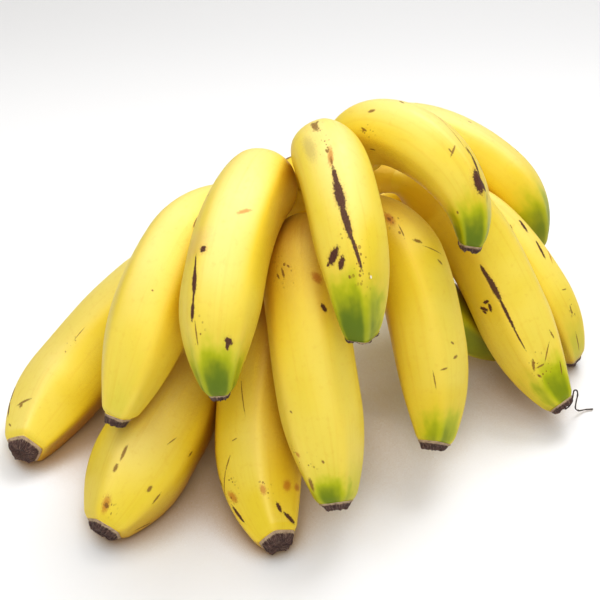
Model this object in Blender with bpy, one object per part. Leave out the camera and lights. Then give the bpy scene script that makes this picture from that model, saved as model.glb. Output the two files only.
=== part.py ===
"""A hand of thirteen small bananas, standing on its fingers and held together by its cut crown.

The script works in metres with +Z up. The origin is on the surface that the hand stands on, under
the middle of its outline. The fingers fan out to the left, to the front (-Y) and to the right of the
crown in two rows. Each finger is one solid: its neck, its five-ridged body and the dried blossom end.
"""

import math
from collections import namedtuple

import bmesh
import bpy
import numpy as np
from mathutils import Vector

MM = 0.001

# The crown: the woody cushion that all the necks grow from, cut flat where it left the stalk
CROWN_CENTRE = Vector((9.0, 30.0, 87.0))
CROWN_HALF_SIZE = Vector((24.0, 21.0, 19.0))
CROWN_SQUARENESS = 3.0
CROWN_SEGMENTS = 28
CROWN_RINGS = 16
CUT_TURN = 118.0
CUT_LEAN = 18.0
CUT_DISTANCE = 14.0

# The fingers' common measures, in millimetres
ROOT_DEPTH = 15.0
NECK_RADIUS = 5.7

# How full the neck's flare and the taper of the tip are (1 is a plain S and a plain quarter wave)
FLARE_FULLNESS = 0.85
TAPER_FULLNESS = 0.9

# The dried blossom end: each of its rings' distance as a share of its length, and its radius as a
# share of the end's
STUB_RINGS = ((0.1, 0.93), (0.6, 0.91), (1.0, 0.8))

# Shares of a finger's length: where the neck begins to widen, where the frames are levelled, and
# between which shares the ridges appear and become plainer
FLARE_START = 0.12
LEVEL_SHARE = 0.7
RIDGES_APPEAR = (0.05, 0.30)
RIDGES_GROW = (0.70, 0.92)

# The five-sided section: sharpness of its ridges, and how strongly they show on belly and tip
RIDGES = 5
RIDGE_SHARPNESS = 10
RIDGE_ON_BELLY = 0.55
RIDGE_ON_TIP = 0.8
MEAN_OF_SECTION = 1.07

# The faceting
SIDES = 15
BODY_RINGS = 23
CURVE_SAMPLES = 400

# The gap between the crown and the necks
CLEARANCE = 0.35

# Moves the hand so that the middle of its outline is above the origin
HAND_SHIFT = Vector((-3.0, -0.88, 0.0))

FINGER_NAME = "banana_"

# Each finger's neck leaves the crown at a turn (degrees in plan) and a rise from the crown's middle.
# Shoulder, belly and tip are points on its centre line, and the girth is half its thickness (mm).
# The end is its radius where the flesh stops, and the stub is the length of the dried blossom (mm).
# The taper is the length over which the body narrows to its end (mm).
# The neck is the share of its length after which it has its full girth. The roll (degrees) turns its
# ridges about the centre line.
Finger = namedtuple("Finger", "number turn rise shoulder belly tip girth end stub taper neck roll")
FINGERS = (
    Finger("01", 175, -8, (-47, 16.5, 60.5), (-94.2, -6, 23), (-114, -44, 10), 17.9, 7.0, 5.0, 40, 0.44, -12),
    Finger("02", 184, 0, (-40.4, -4.6, 94.3), (-59.3, -43, 72), (-70.3, -63, 46), 16.1, 5.2, 6.0, 46, 0.46, 26),
    Finger("03", 202, 3, (-18.7, -14, 115), (-28.5, -58, 100), (-29, -76, 71), 15.0, 4.8, 4.2, 40, 0.30, 28),
    Finger("04", 206, -16, (-47, -23.4, 28), (-62, -57, 19.1), (-76.1, -86, 9), 20.1, 7.2, 4.0, 36, 0.68, 6),
    Finger("05", 245, -13, (-12.6, -22, 49), (-16.2, -57, 22), (-8.2, -91, 7.5), 17.3, 6.6, 5.0, 42, 0.36, 4),
    Finger("06", 268, -6, (1.2, -13, 93.2), (7, -61, 55), (13.5, -87, 24), 15.8, 6.3, 4.0, 40, 0.32, -12),
    Finger("07", 246, 16, (10.4, -12, 131), (18.2, -49, 116), (22.0, -62, 88), 13.4, 6.0, 2.0, 44, 0.36, -2),
    Finger("08", 290, -8, (29.4, 4, 95), (51, -30, 56), (52.8, -54, 23), 14.7, 6.4, 4.0, 43, 0.40, 0),
    Finger("09", 318, 5, (36, 11.2, 128.8), (56.9, -5, 121.4), (65.5, -17, 95), 12.7, 5.0, 4.5, 54, 0.22, 4),
    Finger("10", 340, 11, (55, 28.6, 89.2), (92.7, 4.4, 39.4), (112, -19.3, 12.8), 15.7, 5.6, 3.6, 46, 0.26, -22),
    Finger("11", 22, -15, (71, 52.2, 67.2), (104, 33.3, 40), (123.3, 23, 3.2), 12.6, 5.2, 5.0, 40, 0.47, -24),
    Finger("12", 42, -1, (60, 83.3, 83.7), (91, 72.3, 69.8), (109, 62, 38.6), 14.0, 4.6, 3.0, 40, 0.41, 16),
    Finger("13", 322, -14, (50, 16, 48.5), (75, 18, 24.3), (92.5, 22, 9), 12.2, 5.0, 4.0, 40, 0.36, -12),
)

PEEL_COLOUR = (0.88, 0.66, 0.13, 1.0)
PEEL_ROUGHNESS = 0.48
CROWN_COLOUR = (0.42, 0.34, 0.12, 1.0)
CROWN_ROUGHNESS = 0.7


def make_material(name, colour, roughness):
    material = bpy.data.materials.new(name)
    material.use_nodes = True
    shader = material.node_tree.nodes["Principled BSDF"]
    shader.inputs["Base Color"].default_value = colour
    shader.inputs["Roughness"].default_value = roughness
    shader.inputs["Metallic"].default_value = 0.0
    material.diffuse_color = colour
    return material


def smooth_step(start, end, x):
    """0 before start, 1 after end, and an even S between them."""
    t = np.clip((x - start) / (end - start), 0.0, 1.0)
    return t * t * (3.0 - 2.0 * t)


def root_point(finger):
    """Where a finger's centre line starts, inside the crown."""
    turn = math.radians(finger.turn)
    return CROWN_CENTRE + Vector((ROOT_DEPTH * math.cos(turn), ROOT_DEPTH * math.sin(turn), finger.rise))


def centre_line(finger):
    """The finger's dense centre line (mm) and the distance of each of its points from the root."""
    points = np.array([root_point(finger), finger.shoulder, finger.belly, finger.tip], float)
    knots = np.concatenate([[0.0], np.cumsum(np.linalg.norm(np.diff(points, axis=0), axis=1))])
    cubic = np.polyfit(knots / knots[-1], points, 3)
    share = np.linspace(0.0, 1.0, CURVE_SAMPLES)
    line = np.stack([np.polyval(cubic[:, axis], share) for axis in range(3)], axis=-1)
    steps = np.linalg.norm(np.diff(line, axis=0), axis=1)
    return line, np.concatenate([[0.0], np.cumsum(steps)])


def carried_frames(points):
    """Tangent, side and top directions along a line, with the top carried along without twist.

    At the levelled point the top points up as far as it can.
    """
    tangent = np.gradient(points, axis=0)
    tangent /= np.linalg.norm(tangent, axis=1)[:, None]
    level = round(LEVEL_SHARE * len(points))
    top = np.zeros_like(points)
    top[level] = square_to((0.0, 0.0, 1.0), tangent[level])
    for i in range(level + 1, len(points)):
        top[i] = square_to(top[i - 1], tangent[i])
    for i in range(level - 1, -1, -1):
        top[i] = square_to(top[i + 1], tangent[i])
    return tangent, np.cross(tangent, top), top


def square_to(direction, tangent):
    """The unit direction nearest to the given one that stands square to the tangent."""
    direction = np.array(direction) - tangent * np.dot(direction, tangent)
    return direction / np.linalg.norm(direction)


def body_radius(distance, length, finger):
    """Radius (mm) of neck, body and tapered end at a distance from the root."""
    share = distance / length
    flare = smooth_step(FLARE_START, finger.neck, share) ** FLARE_FULLNESS
    widening = NECK_RADIUS + (finger.girth - NECK_RADIUS) * flare
    taper = np.clip((length - distance) / finger.taper, 0.0, 1.0)
    narrowing = finger.end + (finger.girth - finger.end) * np.sin(taper * math.pi / 2.0) ** TAPER_FULLNESS
    return np.minimum(widening, narrowing)


def ridge_strength(share):
    """0 where the section is round, 1 where it is fully five-sided."""
    grown = smooth_step(*RIDGES_APPEAR, share)
    towards_tip = smooth_step(*RIDGES_GROW, share)
    return grown * (RIDGE_ON_BELLY + (RIDGE_ON_TIP - RIDGE_ON_BELLY) * towards_tip)


def section(angle):
    """Relative radius of the rounded five-sided section, with a ridge at angle 0."""
    total = np.zeros_like(angle)
    for i in range(RIDGES):
        face = math.tau * (i + 0.5) / RIDGES
        total += np.maximum(0.0, np.cos(angle - face)) ** RIDGE_SHARPNESS
    return total ** (-1.0 / RIDGE_SHARPNESS) / MEAN_OF_SECTION


def finger_rings(finger):
    """The finger's rings of points (mm), from the root to the end of the dried blossom."""
    line, distance = centre_line(finger)
    length = distance[-1]
    flesh_end = length - finger.stub / 2.0
    stations = np.linspace(0.0, flesh_end, BODY_RINGS)
    centres = np.stack([np.interp(stations, distance, line[:, axis]) for axis in range(3)], axis=-1)
    tangent, side, top = carried_frames(centres)
    angle = np.linspace(0.0, math.tau, SIDES, endpoint=False)
    outward = angle + math.radians(finger.roll)
    spoke = np.cos(outward)[:, None] * top[:, None] + np.sin(outward)[:, None] * side[:, None]
    radius = body_radius(stations, length, finger)[:, None]
    strength = ridge_strength(stations / length)[:, None]
    relief = 1.0 + strength * (section(angle)[None, :] - 1.0)
    rings = list(centres[:, None] + (radius * relief)[:, :, None] * spoke)
    for along, size in STUB_RINGS:
        rings.append(centres[-1] + tangent[-1] * finger.stub * along + spoke[-1] * finger.end * size)
    return rings


def loft(rings):
    """A closed bmesh through rings that all have the same number of points."""
    shell = bmesh.new()
    loops = [[shell.verts.new(Vector(point) * MM) for point in ring] for ring in rings]
    for near, far in zip(loops, loops[1:]):
        for i, corner in enumerate(near):
            after = (i + 1) % len(near)
            shell.faces.new((corner, near[after], far[after], far[i]))
    shell.faces.new(reversed(loops[0]))
    shell.faces.new(loops[-1])
    return shell


def trim(shell, point, outward):
    """Cuts away what lies past a plane and closes the cut with a flat face."""
    geometry = shell.verts[:] + shell.edges[:] + shell.faces[:]
    cut = bmesh.ops.bisect_plane(shell, geom=geometry, plane_co=point, plane_no=outward, clear_outer=True)
    edges = [item for item in cut["geom_cut"] if isinstance(item, bmesh.types.BMEdge)]
    if edges:
        bmesh.ops.holes_fill(shell, edges=edges, sides=0)


def add_object(name, shell, collection, material=None):
    """Turns a finished bmesh into an object, triangulated and facing outwards."""
    bmesh.ops.translate(shell, verts=shell.verts, vec=HAND_SHIFT * MM)
    bmesh.ops.recalc_face_normals(shell, faces=shell.faces)
    bmesh.ops.triangulate(shell, faces=shell.faces)
    mesh = bpy.data.meshes.new(name)
    shell.to_mesh(mesh)
    shell.free()
    mesh.shade_smooth()
    part = bpy.data.objects.new(name, mesh)
    collection.objects.link(part)
    if material is not None:
        mesh.materials.append(material)
    return part


def crown_shell(growth=0.0):
    """The crown: a squarish rounded cushion with its flat cut at the back, grown by a clearance."""
    shell = bmesh.new()
    bmesh.ops.create_uvsphere(shell, u_segments=CROWN_SEGMENTS, v_segments=CROWN_RINGS, radius=1.0)
    half_size = CROWN_HALF_SIZE + Vector((growth, growth, growth))
    for vertex in shell.verts:
        total = sum(abs(value) ** CROWN_SQUARENESS for value in vertex.co)
        vertex.co *= total ** (-1.0 / CROWN_SQUARENESS)
        vertex.co = (CROWN_CENTRE + vertex.co * half_size) * MM
    turn = math.radians(CUT_TURN)
    lean = math.radians(CUT_LEAN)
    outward = Vector((math.cos(turn) * math.cos(lean), math.sin(turn) * math.cos(lean), math.sin(lean)))
    trim(shell, (CROWN_CENTRE + outward * (CUT_DISTANCE + growth)) * MM, outward)
    return shell


def add_finger(finger, collection, cutter):
    shell = loft(finger_rings(finger))
    # The lowest fingers are pressed flat in small spots where the hand stands on them
    trim(shell, Vector((0.0, 0.0, 0.0)), Vector((0.0, 0.0, -1.0)))
    name = FINGER_NAME + finger.number
    peel = make_material(name + "_peel", PEEL_COLOUR, PEEL_ROUGHNESS)
    part = add_object(name, shell, collection, peel)
    cut = part.modifiers.new("crown_cut", "BOOLEAN")
    cut.operation = "DIFFERENCE"
    cut.solver = "EXACT"
    cut.object = cutter
    return part


def new_collection(name):
    collection = bpy.data.collections.new(name)
    bpy.context.scene.collection.children.link(collection)
    return collection


def main():
    for old in list(bpy.data.objects):
        bpy.data.objects.remove(old)
    hand = new_collection("banana_hand")
    cutters = new_collection("cutters")
    cutter = add_object("crown_clearance", crown_shell(CLEARANCE), cutters)
    cutter.hide_render = True
    cutter.display_type = "WIRE"
    add_object("crown", crown_shell(), hand, make_material("crown_wood", CROWN_COLOUR, CROWN_ROUGHNESS))
    for finger in FINGERS:
        add_finger(finger, hand, cutter)


main()
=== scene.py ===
"""The looks of the hand of small bananas: ripe yellow fingers with green tips and brown marks.

Each finger is rebuilt from the same measures as its solid, with a finer surface, a torn dried blossom
end and a peel whose marks are placed by where the photograph shows them. The layout is in millimetres,
and Blender's own space, with its lights and its materials' distances, is in metres.
"""
import math
from collections import namedtuple

import bmesh
import bpy
import numpy as np
from mathutils import Matrix, Vector, noise
from mathutils.bvhtree import BVHTree
from mathutils.interpolate import poly_3d_calc


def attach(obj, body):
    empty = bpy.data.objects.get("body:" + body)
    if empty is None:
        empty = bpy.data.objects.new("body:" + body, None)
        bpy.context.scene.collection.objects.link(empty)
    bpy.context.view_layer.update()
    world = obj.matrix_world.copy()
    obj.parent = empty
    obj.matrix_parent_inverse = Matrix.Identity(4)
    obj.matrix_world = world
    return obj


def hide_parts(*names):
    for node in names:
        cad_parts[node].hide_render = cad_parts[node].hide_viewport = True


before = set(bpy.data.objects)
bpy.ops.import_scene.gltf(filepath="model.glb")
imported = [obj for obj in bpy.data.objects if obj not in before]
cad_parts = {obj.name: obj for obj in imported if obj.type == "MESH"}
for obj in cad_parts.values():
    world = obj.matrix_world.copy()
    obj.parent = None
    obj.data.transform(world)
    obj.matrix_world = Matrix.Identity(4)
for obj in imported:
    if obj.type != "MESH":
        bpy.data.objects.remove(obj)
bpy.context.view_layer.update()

bl_info = {
    "name": "Hand of bananas",
    "version": (1, 0, 0),
    "blender": (4, 5, 0),
    "location": "View3D > Sidebar > Bananas",
    "description": "Builds the fingers, the crown and the studio for a hand of small bananas",
    "category": "Object",
}

MM = 0.001

# The crown that the necks grow from, as in the solids (mm and degrees)
CROWN_CENTRE = Vector((9.0, 30.0, 87.0))
CROWN_HALF_SIZE = Vector((24.0, 21.0, 19.0))
CROWN_SQUARENESS = 3.0
CUT_TURN = 118.0
CUT_LEAN = 18.0
CUT_DISTANCE = 14.0

# The fingers' common measures, as in the solids
ROOT_DEPTH = 15.0
NECK_RADIUS = 5.7
FLARE_FULLNESS = 0.85
TAPER_FULLNESS = 0.9
FLARE_START = 0.12
LEVEL_SHARE = 0.7
RIDGES_GROW = (0.70, 0.92)
RIDGES = 5
RIDGE_SHARPNESS = 10.0
RIDGE_ON_TIP = 0.8
MEAN_OF_SECTION = 1.07
CURVE_SAMPLES = 400
HAND_SHIFT = Vector((-3.0, -0.88, 0.0))

# The crown's own faceting, before it is joined with the collars
CROWN_SEGMENTS = 64
CROWN_RINGS = 40

# What only the surface has: ridges that are softer on the belly and crisper at the tip, the flesh's
# rounded end and the unevenness (mm)
RIDGES_APPEAR = (0.1, 0.55)
RIDGE_ON_BELLY = 0.4
TIP_SHARPNESS = 12.0
FLESH_ROLL = 2.4
LUMP_HEIGHT = 0.4
LUMP_LENGTH = 26.0

FINGER_NAME = "banana_"

# The fingers' layout, as in the solids. Each neck leaves the crown at a turn (degrees) and a rise (mm).
# Shoulder, belly and tip lie on the centre line, and girth and end are radii (mm). The stub and the
# taper are lengths (mm), the neck is a share of the finger's length, and the roll is in degrees.
Finger = namedtuple("Finger", "number turn rise shoulder belly tip girth end stub taper neck roll")
FINGERS = (
    Finger("01", 175, -8, (-47, 16.5, 60.5), (-94.2, -6, 23), (-114, -44, 10), 17.9, 7.0, 5.0, 40, 0.44, -12),
    Finger("02", 184, 0, (-40.4, -4.6, 94.3), (-59.3, -43, 72), (-70.3, -63, 46), 16.1, 5.2, 6.0, 46, 0.46, 26),
    Finger("03", 202, 3, (-18.7, -14, 115), (-28.5, -58, 100), (-29, -76, 71), 15.0, 4.8, 4.2, 40, 0.30, 28),
    Finger("04", 206, -16, (-47, -23.4, 28), (-62, -57, 19.1), (-76.1, -86, 9), 20.1, 7.2, 4.0, 36, 0.68, 6),
    Finger("05", 245, -13, (-12.6, -22, 49), (-16.2, -57, 22), (-8.2, -91, 7.5), 17.3, 6.6, 5.0, 42, 0.36, 4),
    Finger("06", 268, -6, (1.2, -13, 93.2), (7, -61, 55), (13.5, -87, 24), 15.8, 6.3, 4.0, 40, 0.32, -12),
    Finger("07", 246, 16, (10.4, -12, 131), (18.2, -49, 116), (22.0, -62, 88), 13.4, 6.0, 2.0, 44, 0.36, -2),
    Finger("08", 290, -8, (29.4, 4, 95), (51, -30, 56), (52.8, -54, 23), 14.7, 6.4, 4.0, 43, 0.40, 0),
    Finger("09", 318, 5, (36, 11.2, 128.8), (56.9, -5, 121.4), (65.5, -17, 95), 12.7, 5.0, 4.5, 54, 0.22, 4),
    Finger("10", 340, 11, (55, 28.6, 89.2), (92.7, 4.4, 39.4), (112, -19.3, 12.8), 15.7, 5.6, 3.6, 46, 0.26, -22),
    Finger("11", 22, -15, (71, 52.2, 67.2), (104, 33.3, 40), (123.3, 23, 3.2), 12.6, 5.2, 5.0, 40, 0.47, -24),
    Finger("12", 42, -1, (60, 83.3, 83.7), (91, 72.3, 69.8), (109, 62, 38.6), 14.0, 4.6, 3.0, 40, 0.41, 16),
    Finger("13", 322, -14, (50, 16, 48.5), (75, 18, 24.3), (92.5, 22, 9), 12.2, 5.0, 4.0, 40, 0.36, -12),
)

# The dried blossom's outline past the flesh: the distance as a share of its length, the radius as a
# share of the flesh's end, how much each ring belongs to the pale rim, and how torn it is
Ring = namedtuple("Ring", "along size rim torn")
BLOSSOM_RINGS = (
    Ring(0.03, 1.02, 0.5, 0.0), Ring(0.08, 1.035, 0.9, 0.15), Ring(0.13, 1.03, 1.0, 0.3),
    Ring(0.18, 1.0, 1.0, 0.4), Ring(0.24, 0.97, 0.9, 0.5), Ring(0.31, 0.945, 0.6, 0.5),
    Ring(0.40, 0.925, 0.25, 0.6), Ring(0.50, 0.9, 0.05, 0.7), Ring(0.60, 0.87, 0.0, 0.8),
    Ring(0.70, 0.835, 0.0, 0.9), Ring(0.80, 0.79, 0.0, 1.0), Ring(0.88, 0.735, 0.1, 1.1),
    Ring(0.94, 0.665, 0.2, 1.1), Ring(0.96, 0.58, 0.2, 1.0), Ring(0.93, 0.49, 0.1, 0.9),
    Ring(0.88, 0.4, 0.0, 0.8), Ring(0.85, 0.3, 0.0, 0.8), Ring(0.87, 0.2, 0.1, 0.7),
    Ring(0.92, 0.1, 0.2, 0.4), Ring(0.94, 0.0, 0.2, 0.0),
)
# How much of the solid's blossom length is left where it is torn
STUB_SHARE = 0.8
# How much narrower some blossoms get towards their end, as a share of their radius (below 0: wider)
WITHERED = {
    "01": 0.1, "03": 0.15, "04": 0.15, "06": 0.2, "07": -0.3, "08": 0.1, "09": -0.15, "10": -0.05,
}

# The camera looks from the photograph's angle (degrees, mm). Its frame is 600 by 600 pixels.
FRAME_PIXELS = 600
CAMERA_TARGET = Vector((0.0, 0.0, 55.0))
CAMERA_ELEVATION = 38.0
CAMERA_DISTANCE = 520.0
FOCAL_PIXELS = 1248.0
SENSOR_WIDTH = 36.0

# A mark on the peel runs between two pixels of the photograph and is so many millimetres wide
Mark = namedtuple("Mark", "start end width")
# The marks by finger and kind
MARKS = {
    "01": {
        "scar": (
            ((18, 405), (30, 399), 1.2), ((20, 406), (22, 405), 1.8), ((85, 327), (74, 340), 0.35),
            ((9, 424), (11, 426), 0.8),
        ),
        "bruise": (
            ((14, 388), (10, 402), 1.0), ((10, 402), (8, 416), 0.9),
        ),
        "dots": (((76, 338), (62, 354), 4.0),),
    },
    "02": {
        "scar": (
            ((193, 228), (197, 218), 0.6), ((152, 290), (153, 291), 0.6),
        ),
    },
    "03": {
        "pink": (((190, 250), (203, 238), 9.0),),
        "dots": (((198, 318), (199, 348), 5.0),),
        "bruise": (
            ((202, 248), (204, 250), 2.2), ((196, 255), (195, 274), 0.8), ((195, 268), (194, 294), 1.9),
            ((194, 288), (193, 306), 0.8), ((193, 303), (192, 320), 1.4), ((226, 340), (231, 343), 2.2),
            ((228, 342), (227, 349), 1.3),
        ),
        "scar": (
            ((195, 322), (198, 345), 0.5), ((206, 182), (207, 183), 0.6), ((225, 160), (235, 155), 0.6),
        ),
        "rust": (((238, 213), (250, 210), 1.4),),
    },
    "04": {
        "scar": (
            ((127, 446), (121, 459), 1.1), ((117, 465), (114, 471), 1.2), ((105, 504), (108, 507), 1.5),
            ((148, 491), (151, 487), 1.3), ((153, 503), (160, 494), 0.8), ((168, 444), (176, 438), 0.4),
            ((189, 456), (192, 452), 0.9),
        ),
        "rust": (((107, 500), (105, 509), 2.4),),
        "dots": (((103, 500), (114, 514), 6.0),),
        "bruise": (((136, 530), (150, 523), 0.6),),
    },
    "05": {
        "scar": (
            ((241, 379), (245, 414), 0.45), ((230, 456), (226, 470), 0.6), ((226, 468), (225, 494), 0.45),
            ((214, 441), (215, 449), 0.8), ((219, 480), (222, 485), 1.0), ((232, 441), (237, 438), 0.4),
        ),
        "rust": (
            ((286, 484), (288, 487), 3.4), ((296, 486), (298, 489), 2.6), ((230, 494), (236, 500), 2.6),
            ((262, 486), (264, 493), 1.8),
        ),
        "bruise": (
            ((277, 504), (281, 511), 1.5), ((284, 513), (294, 523), 1.9), ((233, 507), (244, 522), 1.2),
        ),
        "dots": (
            ((226, 474), (236, 500), 8.0), ((262, 482), (270, 496), 6.0),
        ),
    },
    "06": {
        "rust": (
            ((314, 275), (320, 281), 2.6), ((296, 453), (299, 456), 1.4),
        ),
        "dots": (
            ((276, 264), (290, 282), 9.0), ((288, 452), (318, 466), 9.0),
        ),
        "bruise": (((322, 305), (326, 311), 1.6),),
        "scar": (
            ((282, 269), (284, 277), 0.9), ((277, 274), (279, 278), 0.7), ((287, 265), (289, 267), 0.6),
            ((310, 480), (313, 490), 1.5), ((322, 461), (324, 463), 0.8), ((290, 411), (292, 413), 0.6),
        ),
    },
    "07": {
        "bruise": (
            ((333, 168), (338, 190), 1.8), ((336, 182), (343, 210), 3.4), ((341, 204), (351, 238), 2.4),
            ((349, 230), (362, 270), 1.2), ((337, 249), (330, 263), 2.8), ((343, 258), (340, 268), 2.0),
            ((329, 264), (327, 266), 0.8),
        ),
        "scar": (
            ((311, 119), (317, 130), 2.2), ((318, 121), (314, 127), 1.2), ((326, 150), (328, 152), 1.0),
            ((331, 159), (332, 164), 0.8), ((349, 276), (350, 278), 0.8),
        ),
        "grey": (((306, 140), (313, 158), 4.2),),
        "rust": (((330, 148), (331, 165), 1.8),),
        "dots": (
            ((315, 122), (331, 166), 7.0), ((346, 226), (366, 286), 10.0),
        ),
        "white": (((371, 277), (371, 277), 0.9),),
    },
    "08": {
        "rust": (((387, 216), (392, 222), 2.6),),
        "dots": (
            ((384, 212), (396, 226), 8.0), ((398, 228), (406, 240), 4.0),
        ),
        "scar": (
            ((388, 218), (390, 220), 1.0), ((414, 240), (421, 242), 1.1), ((424, 246), (441, 254), 0.35),
            ((399, 226), (404, 236), 0.5), ((438, 260), (442, 264), 0.8), ((451, 342), (454, 344), 0.8),
            ((454, 358), (457, 356), 1.1), ((441, 370), (447, 368), 0.7), ((433, 372), (436, 388), 0.5),
        ),
    },
    "09": {
        "scar": (
            ((466, 148), (469, 153), 0.9), ((487, 194), (487, 202), 0.7), ((451, 156), (455, 146), 0.7),
            ((449, 149), (452, 153), 0.6), ((369, 112), (374, 110), 1.2), ((400, 101), (403, 103), 1.0),
            ((362, 128), (366, 131), 0.8), ((370, 149), (375, 150), 0.7), ((457, 212), (458, 213), 0.8),
            ((432, 112), (450, 129), 0.35), ((450, 129), (464, 147), 0.4),
        ),
        "bruise": (
            ((467, 148), (474, 160), 0.9), ((472, 156), (479, 174), 1.6), ((477, 174), (480, 189), 4.2),
            ((479, 180), (485, 189), 2.2), ((482, 164), (484, 172), 0.9),
        ),
        "dots": (((362, 126), (372, 136), 5.0),),
    },
    "10": {
        "bruise": (
            ((481, 266), (490, 282), 1.6), ((486, 274), (501, 301), 2.3), ((498, 296), (516, 332), 1.2),
            ((512, 325), (525, 349), 0.6), ((484, 303), (488, 301), 1.5), ((489, 304), (491, 311), 1.5),
            ((481, 308), (487, 310), 1.8), ((483, 311), (486, 313), 1.2),
        ),
        "dots": (((536, 356), (548, 380), 10.0),),
        "scar": (
            ((549, 343), (545, 362), 0.6), ((550, 331), (554, 338), 0.8), ((533, 360), (534, 370), 1.1),
            ((537, 368), (544, 364), 0.8), ((538, 375), (541, 377), 0.8), ((560, 362), (562, 374), 0.6),
        ),
    },
    "11": {
        "scar": (
            ((508, 226), (511, 229), 2.4), ((570, 306), (572, 314), 0.8), ((576, 334), (579, 350), 0.6),
            ((562, 290), (566, 289), 0.5),
        ),
        "bruise": (
            ((520, 221), (527, 231), 1.5), ((536, 241), (545, 258), 1.2),
        ),
        "rust": (((548, 250), (552, 262), 0.9),),
        "dots": (((570, 302), (574, 318), 4.0),),
    },
    "12": {
        "scar": (
            ((516, 149), (518, 151), 0.8), ((468, 121), (472, 123), 0.6),
        ),
    },
}

# A green patch lies round a pixel of the photograph: its reach along and around (mm) and its strength
Green = namedtuple("Green", "finger centre along around strength")
GREENS = (
    Green("07", (352, 334), 25.0, 36.0, 1.0),
    Green("03", (217, 389), 20.0, 36.0, 0.95),
    Green("09", (470, 243), 22.0, 34.0, 0.95),
    Green("10", (560, 390), 21.0, 32.0, 0.75),
    Green("06", (332, 502), 15.0, 30.0, 0.85),
    Green("08", (442, 439), 19.0, 26.0, 0.72),
    Green("12", (546, 228), 22.0, 32.0, 0.8),
    Green("11", (576, 348), 20.0, 22.0, 0.3),
    Green("02", (117, 408), 18.0, 26.0, 0.16),
    Green("13", (482, 340), 60.0, 60.0, 0.72),
)


def millimetres(x, y, z):
    """A place in the layout's millimetres as a place in the model, in metres."""
    return (Vector((x, y, z)) + HAND_SHIFT) * MM


def from_screen(red, green, blue):
    """A colour given as 0 to 255 screen values, as Blender's linear colour."""
    return tuple(
        value / 255 / 12.92 if value / 255 <= 0.04045 else ((value / 255 + 0.055) / 1.055) ** 2.4
        for value in (red, green, blue)
    ) + (1.0,)


def smooth_step(start, end, x):
    """0 before start, 1 after end, and an even S between them."""
    t = np.clip((x - start) / (end - start), 0.0, 1.0)
    return t * t * (3.0 - 2.0 * t)


def root_point(finger):
    """Where a finger's centre line starts, inside the crown."""
    turn = math.radians(finger.turn)
    return CROWN_CENTRE + Vector((ROOT_DEPTH * math.cos(turn), ROOT_DEPTH * math.sin(turn), finger.rise))


def centre_line(finger):
    """The finger's dense centre line (mm) and the distance of each of its points from the root."""
    points = np.array([root_point(finger), finger.shoulder, finger.belly, finger.tip], float)
    knots = np.concatenate([[0.0], np.cumsum(np.linalg.norm(np.diff(points, axis=0), axis=1))])
    cubic = np.polyfit(knots / knots[-1], points, 3)
    share = np.linspace(0.0, 1.0, CURVE_SAMPLES)
    line = np.stack([np.polyval(cubic[:, axis], share) for axis in range(3)], axis=-1)
    steps = np.linalg.norm(np.diff(line, axis=0), axis=1)
    return line, np.concatenate([[0.0], np.cumsum(steps)])


def square_to(direction, tangent):
    """The unit direction nearest to the given one that stands square to the tangent."""
    direction = np.array(direction) - tangent * np.dot(direction, tangent)
    return direction / np.linalg.norm(direction)


def carried_frames(points):
    """Tangent, side and top directions along a line, with the top carried along without twist."""
    tangent = np.gradient(points, axis=0)
    tangent /= np.linalg.norm(tangent, axis=1)[:, None]
    level = round(LEVEL_SHARE * len(points))
    top = np.zeros_like(points)
    top[level] = square_to((0.0, 0.0, 1.0), tangent[level])
    for i in range(level + 1, len(points)):
        top[i] = square_to(top[i - 1], tangent[i])
    for i in range(level - 1, -1, -1):
        top[i] = square_to(top[i + 1], tangent[i])
    return tangent, np.cross(tangent, top), top


def body_radius(distance, length, finger):
    """Radius (mm) of neck, body and tapered end at a distance from the root."""
    share = distance / length
    flare = smooth_step(FLARE_START, finger.neck, share) ** FLARE_FULLNESS
    widening = NECK_RADIUS + (finger.girth - NECK_RADIUS) * flare
    taper = np.clip((length - distance) / finger.taper, 0.0, 1.0)
    narrowing = finger.end + (finger.girth - finger.end) * np.sin(taper * math.pi / 2.0) ** TAPER_FULLNESS
    return np.minimum(widening, narrowing)


def ridge_strength(share):
    """0 where the section is round, 1 where it is fully five-sided."""
    grown = smooth_step(*RIDGES_APPEAR, share)
    towards_tip = smooth_step(*RIDGES_GROW, share)
    return grown * (RIDGE_ON_BELLY + (RIDGE_ON_TIP - RIDGE_ON_BELLY) * towards_tip)


def section(angle, sharpness):
    """Relative radius of the rounded five-sided section, with a ridge at angle 0."""
    total = np.zeros(np.broadcast(angle, sharpness).shape)
    for i in range(RIDGES):
        face = math.tau * (i + 0.5) / RIDGES
        total += np.maximum(0.0, np.cos(angle - face)) ** sharpness
    return total ** (-1.0 / sharpness) / MEAN_OF_SECTION


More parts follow.
